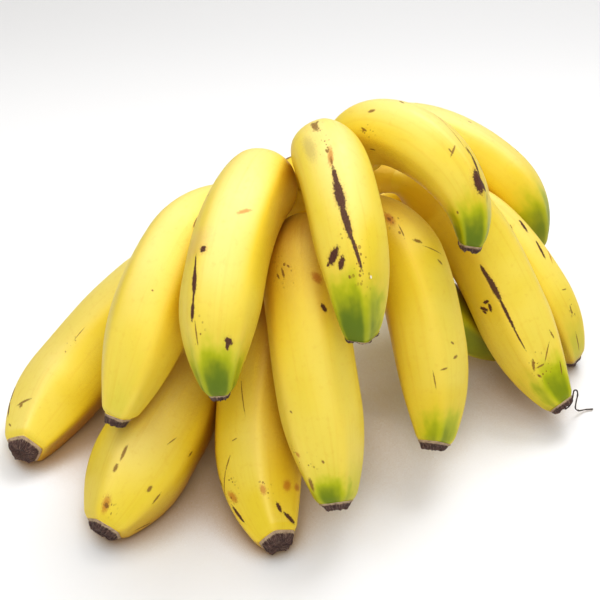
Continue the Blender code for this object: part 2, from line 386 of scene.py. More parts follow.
class PeelSettings(bpy.types.PropertyGroup):
    ripe: bpy.props.FloatVectorProperty(
        name="Ripe", description="Colour of the ripe peel", subtype="COLOR", size=4, min=0.0, max=1.0,
        default=from_screen(234, 207, 54))
    pale: bpy.props.FloatVectorProperty(
        name="Pale", description="Colour of the palest peel", subtype="COLOR", size=4, min=0.0, max=1.0,
        default=from_screen(239, 216, 84))
    # painted highlight: a pale cream mixed into the peel where it faces up, standing in for the light from above
    painted_highlight: bpy.props.FloatVectorProperty(
        name="Painted highlight", description="Colour of the sides that face up", subtype="COLOR", size=4, min=0.0,
        max=1.0, default=from_screen(246, 230, 160))
    green: bpy.props.FloatVectorProperty(
        name="Green", description="Colour of the unripe tips", subtype="COLOR", size=4, min=0.0, max=1.0,
        default=from_screen(86, 114, 0))
    bruise: bpy.props.FloatVectorProperty(
        name="Bruise", description="Colour of the dark marks", subtype="COLOR", size=4, min=0.0, max=1.0,
        default=from_screen(60, 14, 28))
    scar: bpy.props.FloatVectorProperty(
        name="Scar", description="Colour of the small brown marks", subtype="COLOR", size=4, min=0.0, max=1.0,
        default=from_screen(98, 56, 22))
    rust: bpy.props.FloatVectorProperty(
        name="Rust", description="Colour of the soft orange spots", subtype="COLOR", size=4, min=0.0, max=1.0,
        default=from_screen(190, 106, 22))
    roughness: bpy.props.FloatProperty(
        name="Roughness", description="How dull the waxy peel is", subtype="FACTOR", min=0.0, max=1.0,
        default=0.46)
    rings: bpy.props.IntProperty(
        name="Rings", description="Rings of faces along a finger", min=40, max=400, default=200)
    sides: bpy.props.IntProperty(
        name="Sides", description="Faces around a finger", min=24, max=256, default=110)


class CrownSettings(bpy.types.PropertyGroup):
    skin: bpy.props.FloatVectorProperty(
        name="Skin", description="Colour of the crown's skin", subtype="COLOR", size=4, min=0.0, max=1.0,
        default=from_screen(238, 206, 64))
    cut: bpy.props.FloatVectorProperty(
        name="Cut", description="Colour of the dried cut", subtype="COLOR", size=4, min=0.0, max=1.0,
        default=from_screen(96, 62, 36))
    grain: bpy.props.FloatProperty(
        name="Grain", description="Size of the mesh that joins crown and necks", subtype="DISTANCE",
        unit="LENGTH", min=0.0004, max=0.004, default=0.0009)


class StudioSettings(bpy.types.PropertyGroup):
    key_power: bpy.props.FloatProperty(
        name="Key light", description="Power of the softbox above and behind", subtype="POWER", min=0.0,
        default=6.4)
    front_power: bpy.props.FloatProperty(
        name="Front light", description="Power of the softbox in front", subtype="POWER", min=0.0,
        default=6.4)
    top_power: bpy.props.FloatProperty(
        name="Top light", description="Power of the large light above", subtype="POWER", min=0.0,
        default=9.2)
    fill: bpy.props.FloatProperty(
        name="Fill", description="Strength of the even light from all around", min=0.0, default=0.22)
    floor: bpy.props.FloatVectorProperty(
        name="Floor", description="Colour of the floor", subtype="COLOR", size=4, min=0.0, max=1.0,
        default=(0.86, 0.86, 0.86, 1.0))


class Shading:
    """A node tree with short ways to add and join nodes."""

    def __init__(self, tree):
        self.tree = tree

    def add(self, kind, inputs=None, **settings):
        node = self.tree.nodes.new(kind)
        for name, value in settings.items():
            setattr(node, name, value)
        for key, value in (inputs or {}).items():
            if isinstance(value, bpy.types.NodeSocket):
                self.tree.links.new(value, node.inputs[key])
            else:
                node.inputs[key].default_value = value
        return node

    def math(self, operation, *values, clamp=False):
        node = self.add("ShaderNodeMath", dict(enumerate(values)), operation=operation, use_clamp=clamp)
        return node.outputs[0]

    def vector(self, operation, *values):
        return self.add("ShaderNodeVectorMath", dict(enumerate(values)), operation=operation)

    def ramp(self, value, low, high, to_low=0.0, to_high=1.0):
        """Maps a value smoothly from one range to another."""
        inputs = {"Value": value, "From Min": low, "From Max": high, "To Min": to_low, "To Max": to_high}
        return self.add("ShaderNodeMapRange", inputs, interpolation_type="SMOOTHSTEP").outputs["Result"]

    def mix(self, factor, one, two, blend="MIX"):
        node = self.add("ShaderNodeMix", data_type="RGBA", blend_type=blend)
        for key, value in (("Factor_Float", factor), ("A_Color", one), ("B_Color", two)):
            socket = next(item for item in node.inputs if item.identifier == key)
            if isinstance(value, bpy.types.NodeSocket):
                self.tree.links.new(value, socket)
            else:
                socket.default_value = value
        return next(item for item in node.outputs if item.identifier == "Result_Color")

    def noise(self, place, scale, detail=2.0, roughness=0.5):
        inputs = {"Vector": place, "Scale": scale, "Detail": detail, "Roughness": roughness}
        return self.add("ShaderNodeTexNoise", inputs).outputs["Fac"]

    def stretched(self, place, scale, location=(0.0, 0.0, 0.0), turn=0.0, kind="POINT"):
        inputs = {"Vector": place, "Location": location, "Rotation": (0.0, 0.0, turn), "Scale": scale}
        return self.add("ShaderNodeMapping", inputs, vector_type=kind).outputs["Vector"]

    def strongest(self, values):
        """The largest of some values, or 0 where there are none."""
        result = 0.0
        for value in values:
            result = value if result == 0.0 else self.math("MAXIMUM", result, value)
        return result


def new_material(name):
    """A new material, its shading helper and its shader."""
    material = bpy.data.materials.new(name)
    material.use_nodes = True
    return material, Shading(material.node_tree), material.node_tree.nodes["Principled BSDF"]


Patch = namedtuple("Patch", "centre turn half_length half_width")


def patch_mask(shading, place, patch, ragged, reach=1.0, softness=0.25):
    """1 inside a long patch of the peel and 0 outside, with an edge that the noise tears."""
    inner = shading.stretched(
        place, (patch.half_length, patch.half_width, 1.0), (*patch.centre, 0.0), patch.turn, "TEXTURE")
    length = shading.vector("LENGTH", inner).outputs["Value"]
    torn = shading.math("ADD", length, ragged)
    return shading.ramp(torn, reach + softness, reach - softness)


# How each kind of mark looks: how soft its edge is, how strongly it covers the peel and its halo
Look = namedtuple("Look", "softness cover halo")
LOOKS = {
    "grey": Look(0.6, 0.4, 0.0),
    "pink": Look(0.6, 0.3, 0.0),
    "rust": Look(0.5, 0.66, 0.3),
    "scar": Look(0.3, 0.8, 0.22),
    "bruise": Look(0.16, 0.97, 0.5),
    "white": Look(0.3, 0.9, 0.0),
}
# Painted shade: how far (m) the occlusion looks for another finger, the tint that darkens the peel near it
# and the deeper tint of painted shade where it nearly touches
PAINTED_SHADE_DISTANCE = 0.045
PAINTED_SHADE_TINT = (1.0, 0.91, 0.22, 1.0)
PAINTED_DEEP_SHADE_TINT = (0.46, 0.2, 0.06, 1.0)
# The tint of the waxy peel's gloss
WAXY_TINT = (1.0, 0.88, 0.42, 1.0)

# How far a mark's halo reaches past it, as a share of its half width, and at least (mm)
HALO_REACH = 0.9
HALO_LEAST = 0.35


def add_marks(shading, place, marks, tear, settings, colour):
    """Lays the marks over the peel's colour, and returns it with how much dried skin covers the peel."""
    fine = shading.noise(place, 2.6, 3.0, 0.6)
    dried = shading.mix(shading.ramp(fine, 0.45, 0.75), settings.bruise, from_screen(100, 54, 62))
    browned = shading.mix(shading.ramp(fine, 0.4, 0.7), settings.scar, from_screen(140, 88, 40))
    colours = {
        "grey": from_screen(158, 138, 92), "pink": from_screen(214, 160, 120), "rust": settings.rust,
        "scar": browned, "bruise": dried, "white": from_screen(252, 250, 236),
    }
    masks = {}
    halos = []
    for kind, patch in marks:
        look = LOOKS[kind]
        masks.setdefault(kind, []).append(patch_mask(shading, place, patch, tear, 1.0, look.softness))
        if look.halo:
            reach = max(patch.half_width * HALO_REACH, HALO_LEAST)
            wider = Patch(patch.centre, patch.turn, patch.half_length + reach, patch.half_width + reach)
            soft = patch_mask(shading, place, wider, tear, 0.62, 0.4)
            halos.append(shading.math("MULTIPLY", soft, look.halo))
    colour = shading.mix(shading.strongest(halos), colour, from_screen(188, 112, 66))
    covered = []
    for kind, look in LOOKS.items():
        if kind in masks:
            mask = shading.math("MULTIPLY", shading.strongest(masks[kind]), look.cover)
            colour = shading.mix(mask, colour, colours[kind])
            if kind in ("scar", "bruise"):
                covered.append(mask)
    return colour, shading.strongest(covered)


def speckles(shading, place, scale, share, size, tear):
    """Round specks in a share of the cells of a scattered pattern."""
    cells = shading.add("ShaderNodeTexVoronoi", {"Vector": place, "Scale": scale, "Randomness": 1.0})
    shade = shading.add("ShaderNodeSeparateColor", {0: cells.outputs["Color"]})
    chosen = shading.ramp(shade.outputs[0], 1.0 - share, 1.0 - share * 0.8)
    wide = shading.math("MULTIPLY", shade.outputs[1], size)
    inside = shading.math("SUBTRACT", wide, cells.outputs["Distance"])
    spots = shading.ramp(shading.math("ADD", inside, shading.math("MULTIPLY", tear, 0.06)), -0.02, 0.05)
    return shading.math("MULTIPLY", spots, chosen)


def peel_material(finger, marks, greens, settings, length):
    """The finger's peel: lemon yellow, greener at the tip, with its own brown marks."""
    material, shading, shader = new_material(FINGER_NAME + finger.number + "_peel")
    place = shading.add("ShaderNodeUVMap", uv_map="peel").outputs["UV"]
    room = shading.add("ShaderNodeTexCoord").outputs["Object"]
    ridge = shading.add("ShaderNodeAttribute", attribute_name="ridge").outputs["Fac"]
    along = shading.add("ShaderNodeSeparateXYZ", {0: place}).outputs["X"]
    seed = float(finger.number)
    # slow changes of colour, a painted highlight on the sides that face up, faint streaks along the finger and
    # paler ridges
    clouds = shading.noise(shading.stretched(room, (1.0, 1.0, 1.0), (seed, 0.0, 0.0)), 26.0, 2.0)
    colour = shading.mix(shading.ramp(clouds, 0.35, 0.65), settings.ripe, settings.pale)
    # painted highlight: the peel is paler the more it faces up
    facing = shading.add("ShaderNodeNewGeometry").outputs["Normal"]
    upward = shading.add("ShaderNodeSeparateXYZ", {0: facing}).outputs["Z"]
    colour = shading.mix(shading.ramp(upward, 0.6, 1.0, 0.0, 0.62), colour, settings.painted_highlight)
    fibres = shading.noise(shading.stretched(place, (0.02, 0.5, 1.0), (0.0, seed * 7.0, 0.0)), 1.0, 3.0)
    colour = shading.mix(shading.ramp(fibres, 0.5, 0.8, 0.0, 0.25), colour, from_screen(222, 172, 32))
    mottle = shading.noise(place, 0.35, 4.0, 0.6)
    colour = shading.mix(shading.ramp(mottle, 0.5, 0.8, 0.0, 0.22), colour, from_screen(214, 166, 44))
    colour = shading.mix(shading.math("MULTIPLY", ridge, 0.25), colour, from_screen(246, 214, 84))
    # the neck is deeper orange: partly the peel's own colour and partly painted shade
    colour = shading.mix(shading.ramp(along, length * 0.34, length * 0.12, 0.0, 0.28), colour,
                         from_screen(222, 176, 32))
    # the green tip, which leaves the ridges yellower
    wander = shading.math("MULTIPLY", shading.math("SUBTRACT", shading.noise(place, 0.14, 2.0), 0.5), 0.5)
    strongest_green = max([strength for _, strength in greens] or [0.0])
    edge = shading.math("ADD", along, shading.math("MULTIPLY", wander, 8.0))
    patches = [shading.ramp(edge, length - 26.0, length, 0.0, 0.06 + 0.34 * strongest_green)]
    for patch, strength in greens:
        soft = patch_mask(shading, place, patch, wander, 0.56, 0.52)
        patches.append(shading.math("MULTIPLY", soft, strength))
    keep = shading.math("SUBTRACT", 1.0, shading.math("MULTIPLY", ridge, 0.35))
    green = shading.math("MULTIPLY", shading.strongest(patches), keep)
    colour = shading.mix(shading.ramp(green, 0.0, 0.5), colour, from_screen(190, 194, 8))
    deep = shading.ramp(green, 0.22, 1.0)
    colour = shading.mix(deep, colour, settings.green)
    # the marks, with freckles that crowd in some places
    tear = shading.math("MULTIPLY", shading.math("SUBTRACT", shading.noise(place, 1.3, 5.0, 0.7), 0.5), 1.7)
    drawn = [(kind, patch) for kind, patch in marks if kind != "dots"]
    colour, dull = add_marks(shading, place, drawn, tear, settings, colour)
    crowds = [patch_mask(shading, place, patch, wander, 0.8, 0.4) for kind, patch in marks if kind == "dots"]
    few = shading.ramp(shading.noise(place, 0.06, 1.0), 0.5, 0.68, 0.0, 0.7)
    sparse = shading.math("MULTIPLY", speckles(shading, place, 0.3, 0.12, 0.2, tear), few)
    freckles = [sparse]
    if crowds:
        dense = speckles(shading, place, 0.8, 0.72, 0.5, tear)
        freckles.append(shading.math("MULTIPLY", dense, shading.strongest(crowds)))
    freckle = shading.math("MULTIPLY", shading.strongest(freckles), 0.75)
    colour = shading.mix(freckle, colour, from_screen(124, 68, 20))
    # painted shade: the peel is darkened where other fingers lie close, and darkened to brown where they nearly
    # touch, less so on the neck
    near = shading.add("ShaderNodeAmbientOcclusion", {"Distance": PAINTED_SHADE_DISTANCE}, samples=4)
    shaded = shading.mix(1.0, colour, PAINTED_SHADE_TINT, "MULTIPLY")
    colour = shading.mix(shading.ramp(near.outputs["AO"], 0.98, 0.4), colour, shaded)
    deep_shaded = shading.mix(1.0, colour, PAINTED_DEEP_SHADE_TINT, "MULTIPLY")
    body = shading.ramp(along, length * 0.14, length * 0.3, 0.1, 1.0)
    deep_shade_mask = shading.math("MULTIPLY", shading.ramp(near.outputs["AO"], 0.54, 0.1), body)
    colour = shading.mix(deep_shade_mask, colour, deep_shaded)
    shading.tree.links.new(colour, shader.inputs["Base Color"])
    # a waxy surface with fine pores, sunken a little where it is marked
    roughness = shading.math("ADD", shading.math("MULTIPLY", mottle, 0.12), settings.roughness - 0.06)
    roughness = shading.math("ADD", roughness, shading.math("MULTIPLY", dull, 0.16))
    roughness = shading.math("ADD", roughness, shading.math("MULTIPLY", deep, 0.12))
    shading.tree.links.new(roughness, shader.inputs["Roughness"])
    pores = shading.noise(place, 2.2, 3.0, 0.6)
    height = shading.math("ADD", shading.math("MULTIPLY", pores, 0.35), shading.math("MULTIPLY", fibres, 0.6))
    height = shading.math("SUBTRACT", height, shading.math("MULTIPLY", dull, 0.8))
    bump = shading.add("ShaderNodeBump", {"Height": height, "Strength": 0.3, "Distance": 0.00012})
    shading.tree.links.new(bump.outputs["Normal"], shader.inputs["Normal"])
    shader.inputs["Specular IOR Level"].default_value = 0.5
    shader.inputs["Specular Tint"].default_value = WAXY_TINT
    shader.inputs["Subsurface Weight"].default_value = 0.1
    shader.inputs["Subsurface Radius"].default_value = (1.0, 0.6, 0.1)
    shader.inputs["Subsurface Scale"].default_value = 0.003
    return material


def blossom_material():
    """The dried blossom end: dark brown fibres with a pale torn rim where the flesh stops."""
    material, shading, shader = new_material("dried_blossom")
    place = shading.add("ShaderNodeUVMap", uv_map="peel").outputs["UV"]
    room = shading.add("ShaderNodeTexCoord").outputs["Object"]
    rim = shading.add("ShaderNodeAttribute", attribute_name="rim").outputs["Fac"]
    crumbs = shading.noise(room, 700.0, 5.0, 0.7)
    fibres = shading.noise(shading.stretched(place, (0.3, 1.1, 1.0)), 1.0, 4.0, 0.7)
    colour = shading.mix(shading.ramp(crumbs, 0.35, 0.68), from_screen(46, 28, 27), from_screen(90, 64, 58))
    colour = shading.mix(shading.ramp(fibres, 0.5, 0.66, 0.0, 0.8), colour, from_screen(146, 120, 103))
    uneven = shading.math("MULTIPLY", shading.math("SUBTRACT", fibres, 0.5), 1.6)
    edge = shading.math("ADD", rim, uneven)
    pale = shading.mix(shading.ramp(crumbs, 0.4, 0.7), from_screen(186, 160, 128), from_screen(140, 114, 92))
    colour = shading.mix(shading.ramp(edge, 0.3, 0.75), colour, pale)
    shading.tree.links.new(colour, shader.inputs["Base Color"])
    shader.inputs["Roughness"].default_value = 0.8
    shader.inputs["Specular IOR Level"].default_value = 0.3
    height = shading.math("ADD", crumbs, fibres)
    bump = shading.add("ShaderNodeBump", {"Height": height, "Strength": 0.7, "Distance": 0.0005})
    shading.tree.links.new(bump.outputs["Normal"], shader.inputs["Normal"])
    return material


def finish_piece(name, mesh, node=None):
    """Puts a finished mesh in the scene as a piece of the hand that may stand for a solid."""
    piece = bpy.data.objects.new(name, mesh)
    bpy.context.scene.collection.objects.link(piece)
    mesh.shade_smooth()
    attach(piece, "root")
    if node:
        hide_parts(node)
    return piece


def finger_surface(finger, rings, sides):
    """The finger's surface points (mm) by ring and side, and each ring's place along it.

    With them come how much each ring is of the blossom's pale rim, how much each point is of a ridge,
    the number of rings before the blossom, and the finger's length.
    """
    line, distance = centre_line(finger)
    length = distance[-1]
    flesh_end = length - finger.stub / 2.0
    seed = float(finger.number) * 13.7
    stations = flesh_end * (1.0 - (1.0 - np.linspace(0.0, 1.0, rings - len(BLOSSOM_RINGS) + 1)) ** 1.25)
    centres = np.stack([np.interp(stations, distance, line[:, axis]) for axis in range(3)], axis=-1)
    tangent, side, top = carried_frames(centres)
    angle = np.linspace(-math.pi, math.pi, sides + 1)
    spoke = np.cos(angle)[:, None] * top[:, None] + np.sin(angle)[:, None] * side[:, None]
    share = stations / length
    rounding = np.sqrt(1.0 - (1.0 - np.clip((flesh_end - stations) / FLESH_ROLL, 0.0, 1.0)) ** 2)
    radius = finger.end + (body_radius(stations, length, finger) - finger.end) * rounding
    sharpness = RIDGE_SHARPNESS + (TIP_SHARPNESS - RIDGE_SHARPNESS) * smooth_step(*RIDGES_GROW, share)
    outline = section((angle - math.radians(finger.roll))[None, :], sharpness[:, None])
    relief = 1.0 + ridge_strength(share)[:, None] * (outline - 1.0)
    ridge = smooth_step(1.0, 1.0 + (outline.max() - 1.0) * 0.95, outline)
    lumps = np.array([[noise.noise(Vector((math.cos(a) * 0.9, math.sin(a) * 0.9, s / LUMP_LENGTH + seed)))
                       for a in angle] for s in stations])
    rows = list(centres[:, None] + (radius[:, None] * relief + lumps * LUMP_HEIGHT)[:, :, None] * spoke)
    withered = WITHERED.get(finger.number, 0.0)
    last = (rows[-1] - centres[-1]) / finger.end
    wide = np.array([noise.noise(Vector((math.cos(a) * 0.8, math.sin(a) * 0.8, seed))) for a in angle])
    fine = np.array([noise.noise(Vector((math.cos(a) * 7.0, math.sin(a) * 7.0, seed))) for a in angle])
    for i, ring in enumerate(BLOSSOM_RINGS):
        torn = ring.torn * np.array([
            noise.fractal(Vector((math.cos(a) * 2.2, math.sin(a) * 2.2, seed + i * 0.16)), 0.8, 2.0, 4)
            for a in angle])
        size = ring.size * (1.0 - withered * ring.along) * (1.0 + 0.08 * torn + 0.07 * wide * ring.torn)
        size = size + (0.03 * fine * ring.torn if ring.size else 0.0)
        forth = finger.stub * ring.along * STUB_SHARE
        forth = forth + (0.6 * torn + 0.3 * fine * ring.torn if ring.size else 0.0)
        outward = last * size[:, None] * finger.end
        rows.append(centres[-1] + tangent[-1] * (forth + np.zeros_like(angle))[:, None] + outward)
    points = np.array(rows)
    # the lowest fingers are pressed flat where the hand stands on them
    points[:, :, 2] = np.maximum(points[:, :, 2], 0.0)
    along = np.concatenate([stations, stations[-1] + 0.4 * np.arange(1, len(BLOSSOM_RINGS) + 1)])
    rim = np.concatenate([np.zeros(len(stations)), [ring.rim for ring in BLOSSOM_RINGS]])
    ridge = np.concatenate([ridge, np.repeat(ridge[-1:], len(BLOSSOM_RINGS), axis=0)])
    return points, along, rim, ridge, len(stations), length


def build_finger(finger, rings, sides):
    """The finger as a mesh with its peel map (mm along, mm around), made from a rolled-up grid."""
    points, along, rim, ridge, body_rings, length = finger_surface(finger, rings, sides)
    last = len(points) - 1
    shell = bmesh.new()
    shell.loops.layers.uv.new("peel")
    rim_layer = shell.verts.layers.float.new("rim")
    ridge_layer = shell.verts.layers.float.new("ridge")
    bmesh.ops.create_grid(shell, x_segments=last, y_segments=sides, size=0.5, calc_uvs=True)
    for vertex in shell.verts:
        ring = round((vertex.co.x + 0.5) * last)
        place = round((vertex.co.y + 0.5) * sides)
        spot = points[ring, place]
        vertex[rim_layer] = rim[ring]
        vertex[ridge_layer] = ridge[ring, place]
        vertex.co = millimetres(*spot)
    bmesh.ops.remove_doubles(shell, verts=shell.verts, dist=1e-6)
    open_edges = [edge for edge in shell.edges if edge.is_boundary]
    bmesh.ops.holes_fill(shell, edges=open_edges, sides=0)
    bmesh.ops.recalc_face_normals(shell, faces=shell.faces)
    mesh = bpy.data.meshes.new(FINGER_NAME + finger.number)
    shell.to_mesh(mesh)
    shell.free()
    # the map in millimetres, and the blossom's faces
    layer = mesh.uv_layers["peel"]
    flat = np.zeros(len(mesh.loops) * 2, np.float32)
    layer.data.foreach_get("uv", flat)
    share = flat.reshape(-1, 2)
    ring = np.clip(np.rint(share[:, 0] * last).astype(int), 0, last)
    around = (share[:, 1] - 0.5) * math.tau * finger.girth
    layer.data.foreach_set("uv", np.stack([along[ring], around], axis=-1).astype(np.float32).ravel())
    starts = np.zeros(len(mesh.polygons), np.int32)
    mesh.polygons.foreach_get("loop_start", starts)
    mesh.polygons.foreach_set("material_index", (ring[starts] >= body_rings + 1).astype(np.int32))
    return mesh, length


def camera_frame():
    """The camera's place (mm) and its directions forward, right and up."""
    lift = math.radians(CAMERA_ELEVATION)
    forward = Vector((0.0, math.cos(lift), -math.sin(lift)))
    right = Vector((1.0, 0.0, 0.0))
    return CAMERA_TARGET - forward * CAMERA_DISTANCE, forward, right, right.cross(forward)


def seen_place(mesh, tree, pixel, aim):
    """The peel map's place that the camera sees at a pixel, or at the nearest pixel towards another."""
    eye, forward, right, up = camera_frame()
    layer = mesh.uv_layers["peel"].data
    for step in range(30):
        x, y = Vector(pixel).lerp(Vector(aim), step / 60.0)
        ray = forward + right * ((x - FRAME_PIXELS / 2) / FOCAL_PIXELS) \
            + up * ((FRAME_PIXELS / 2 - y) / FOCAL_PIXELS)
        place, _, face, _ = tree.ray_cast((eye + HAND_SHIFT) * MM, ray.normalized())
        if face is not None:
            polygon = mesh.polygons[face]
            corners = [mesh.vertices[i].co for i in polygon.vertices]
            weights = poly_3d_calc(corners, place)
            spot = Vector((0.0, 0.0))
            for weight, loop in zip(weights, polygon.loop_indices):
                spot += layer[loop].uv * weight
            return spot
    raise RuntimeError(f"{mesh.name}: pixel {pixel} isn't on this finger")


def seen_patch(mesh, tree, mark, aim, finger, length):
    """A mark's patch on the peel map, which is wider than the peel where the finger is thin."""
    start = seen_place(mesh, tree, mark.start, aim)
    end = seen_place(mesh, tree, mark.end, aim)
    run = end - start
    stretch = finger.girth / float(body_radius((start.x + end.x) / 2.0, length, finger))
    half_width = mark.width / 2.0 * (stretch if abs(run.x) > abs(run.y) else 1.0)
    half_length = max(run.length / 2.0 + half_width * 0.5, half_width)
    return Patch((start + end) / 2.0, math.atan2(run.y, run.x), half_length, half_width)


def projected(place):
    """The pixel at which the camera sees a place given in the layout's millimetres."""
    eye, forward, right, up = camera_frame()
    ray = Vector(place) - eye
    depth = ray.dot(forward)
    half = FRAME_PIXELS / 2
    return half + FOCAL_PIXELS * ray.dot(right) / depth, half - FOCAL_PIXELS * ray.dot(up) / depth


def add_finger(finger, settings, blossom):
    """Builds one finger with its peel and its dried blossom."""
    mesh, length = build_finger(finger, settings.rings, settings.sides)
    tree = BVHTree.FromPolygons([v.co for v in mesh.vertices], [tuple(p.vertices) for p in mesh.polygons])
    aim = projected(finger.belly)
    marks = [(kind, seen_patch(mesh, tree, Mark(*row), aim, finger, length))
             for kind, rows in MARKS.get(finger.number, {}).items() for row in rows]
    greens = []
    for green in GREENS:
        if green.finger == finger.number:
            centre = seen_place(mesh, tree, green.centre, aim)
            greens.append((Patch(centre, 0.0, green.along, green.around), green.strength))
    mesh.materials.append(peel_material(finger, marks, greens, settings, length))
    mesh.materials.append(blossom)
    return finish_piece(mesh.name + "_fruit", mesh, FINGER_NAME + finger.number)


class BANANAS_OT_fingers(bpy.types.Operator):
    """Builds all fingers of the hand, each with its own marks"""

    bl_idname = "bananas.fingers"
    bl_label = "Fingers"

    def execute(self, context):
        blossom = blossom_material()
        for finger in FINGERS:
            add_finger(finger, context.scene.banana_peel, blossom)
        return {"FINISHED"}


def cut_direction():
    """The direction that the crown's cut faces."""
    turn = math.radians(CUT_TURN)
    lean = math.radians(CUT_LEAN)
    return Vector((math.cos(turn) * math.cos(lean), math.sin(turn) * math.cos(lean), math.sin(lean)))


def crown_material(settings):
    """The crown: yellow-green skin, and dark dried fibres with a paler ring on its cut."""
    material, shading, shader = new_material("crown_skin_and_cut")
    room = shading.add("ShaderNodeTexCoord").outputs["Object"]
    outward = cut_direction()
    middle = (CROWN_CENTRE + outward * CUT_DISTANCE + HAND_SHIFT) * MM
    offset = shading.vector("SUBTRACT", room, tuple(middle)).outputs[0]
    height = shading.vector("DOT_PRODUCT", offset, tuple(outward)).outputs["Value"]
    reach = shading.vector("LENGTH", offset).outputs["Value"]
    tangle = shading.noise(room, 350.0, 5.0, 0.65)
    clouds = shading.noise(room, 60.0, 3.0)
    ragged = shading.math("MULTIPLY", shading.math("SUBTRACT", tangle, 0.5), 0.003)
    is_cut = shading.ramp(shading.math("ADD", height, ragged), -0.0024, -0.0012)
    skin = shading.mix(shading.ramp(clouds, 0.4, 0.65), settings.skin, from_screen(228, 190, 50))
    skin = shading.mix(shading.ramp(tangle, 0.6, 0.8, 0.0, 0.15), skin, from_screen(176, 128, 40))
    cut = shading.mix(shading.ramp(tangle, 0.35, 0.65), settings.cut, from_screen(52, 34, 24))
    cut = shading.mix(shading.ramp(reach, 0.009, 0.0145, 0.0, 0.7), cut, from_screen(150, 116, 66))
    # painted shade: the skin is darkened where necks lie close to it
    near = shading.add("ShaderNodeAmbientOcclusion", {"Distance": PAINTED_SHADE_DISTANCE}, samples=4)
    shaded = shading.mix(1.0, skin, PAINTED_SHADE_TINT, "MULTIPLY")
    skin = shading.mix(shading.ramp(near.outputs["AO"], 0.98, 0.4), skin, shaded)
    colour = shading.mix(is_cut, skin, cut)
    shading.tree.links.new(colour, shader.inputs["Base Color"])
    roughness = shading.ramp(is_cut, 0.0, 1.0, 0.5, 0.85)
    shading.tree.links.new(roughness, shader.inputs["Roughness"])
    bump = shading.add("ShaderNodeBump", {"Height": tangle, "Strength": 0.5, "Distance": 0.0008})
    shading.tree.links.new(bump.outputs["Normal"], shader.inputs["Normal"])
    shader.inputs["Specular Tint"].default_value = WAXY_TINT
    return material


def crown_shell():
    """The crown as a squarish cushion with its flat cut, not yet joined to the necks' collars."""
    shell = bmesh.new()
    bmesh.ops.create_uvsphere(shell, u_segments=CROWN_SEGMENTS, v_segments=CROWN_RINGS, radius=1.0)
    for vertex in shell.verts:
        total = sum(abs(value) ** CROWN_SQUARENESS for value in vertex.co)
        vertex.co *= total ** (-1.0 / CROWN_SQUARENESS)
        vertex.co = (CROWN_CENTRE + vertex.co * CROWN_HALF_SIZE + HAND_SHIFT) * MM
    outward = cut_direction()
    geometry = shell.verts[:] + shell.edges[:] + shell.faces[:]
    cut = bmesh.ops.bisect_plane(
        shell, geom=geometry, plane_co=(CROWN_CENTRE + outward * CUT_DISTANCE + HAND_SHIFT) * MM,
        plane_no=outward, clear_outer=True)
    edges = [item for item in cut["geom_cut"] if isinstance(item, bmesh.types.BMEdge)]
    bmesh.ops.holes_fill(shell, edges=edges, sides=0)
    return shell


# A collar: how far it reaches along a neck, how thick it is at its root, how deep its end lies in the
# neck (mm), how fast it thins out, and its faceting
COLLAR_LENGTH = 21.0
COLLAR_THICKNESS = 2.2
COLLAR_SUNK = 0.25
COLLAR_FALL = 1.4
COLLAR_RINGS = 8
COLLAR_SIDES = 24


def add_collar(shell, finger):
    """A collar that leads from the crown into a neck: thick at the crown and flush at its end."""
    line, distance = centre_line(finger)
    stations = np.linspace(0.0, COLLAR_LENGTH, COLLAR_RINGS)
    centres = np.stack([np.interp(stations, distance, line[:, axis]) for axis in range(3)], axis=-1)
    tangent, side, top = carried_frames(centres)
    radius = body_radius(stations, distance[-1], finger)
    thick = COLLAR_THICKNESS * (1.0 - stations / COLLAR_LENGTH) ** COLLAR_FALL - COLLAR_SUNK
    made = bmesh.ops.create_circle(shell, cap_ends=True, segments=COLLAR_SIDES, radius=MM)
    ring = made["verts"]
    face = ring[0].link_faces[0]
    for i in range(len(stations)):
        if i:
            face = bmesh.ops.extrude_discrete_faces(shell, faces=[face])["faces"][0]
            ring = list(face.verts)
        for j, vertex in enumerate(ring):
            a = math.tau * j / len(ring)
            spot = centres[i] + (radius[i] + thick[i]) * (math.cos(a) * top[i] + math.sin(a) * side[i])
            vertex.co = millimetres(*spot)


class BANANAS_OT_crown(bpy.types.Operator):
    """Builds the crown, with a collar that leads into each finger's neck"""

    bl_idname = "bananas.crown"
    bl_label = "Crown"

    def execute(self, context):
        settings = context.scene.banana_crown
        shell = crown_shell()
        for finger in FINGERS:
            add_collar(shell, finger)
        bmesh.ops.recalc_face_normals(shell, faces=shell.faces)
        rough = bpy.data.meshes.new("crown_rough")
        shell.to_mesh(rough)
        shell.free()
        working = bpy.data.objects.new("crown_rough", rough)
        context.scene.collection.objects.link(working)
        remesh = working.modifiers.new("join", "REMESH")
        remesh.mode = "VOXEL"
        remesh.voxel_size = settings.grain
        soften = working.modifiers.new("soften", "SMOOTH")
        soften.iterations = 6
        mesh = bpy.data.meshes.new_from_object(working.evaluated_get(context.evaluated_depsgraph_get()))
        bpy.data.objects.remove(working)
        mesh.name = "crown_fruit"
        mesh.materials.clear()
        mesh.materials.append(crown_material(settings))
        finish_piece("crown_fruit", mesh, "crown")
        return {"FINISHED"}


# The dried thread that hangs from one blossom end: the pixels where the photograph shows it, and its
# height above the floor (mm) at each of them
THREAD_PATH = (
    ((565, 409), 9.0), ((569, 407), 9.0), ((572, 402), 11.0), ((573, 395), 14.0), ((574, 390), 16.0),
    ((577, 390), 15.0), ((578, 394), 12.5), ((576, 402), 8.0), ((575, 409), 4.0), ((579, 411), 2.0),
    ((585, 409.5), 1.0), ((593, 409), 0.7),
)
THREAD_RADIUS = 0.32
THREAD_RINGS = 60
THREAD_SIDES = 8


def place_above(pixel, height):
    """The place (mm) that the camera sees at a pixel, where it is so high above the floor."""
    eye, forward, right, up = camera_frame()
    ray = forward + right * ((pixel[0] - FRAME_PIXELS / 2) / FOCAL_PIXELS) \
        + up * ((FRAME_PIXELS / 2 - pixel[1]) / FOCAL_PIXELS)
    return eye + ray * ((height - eye.z) / ray.z)


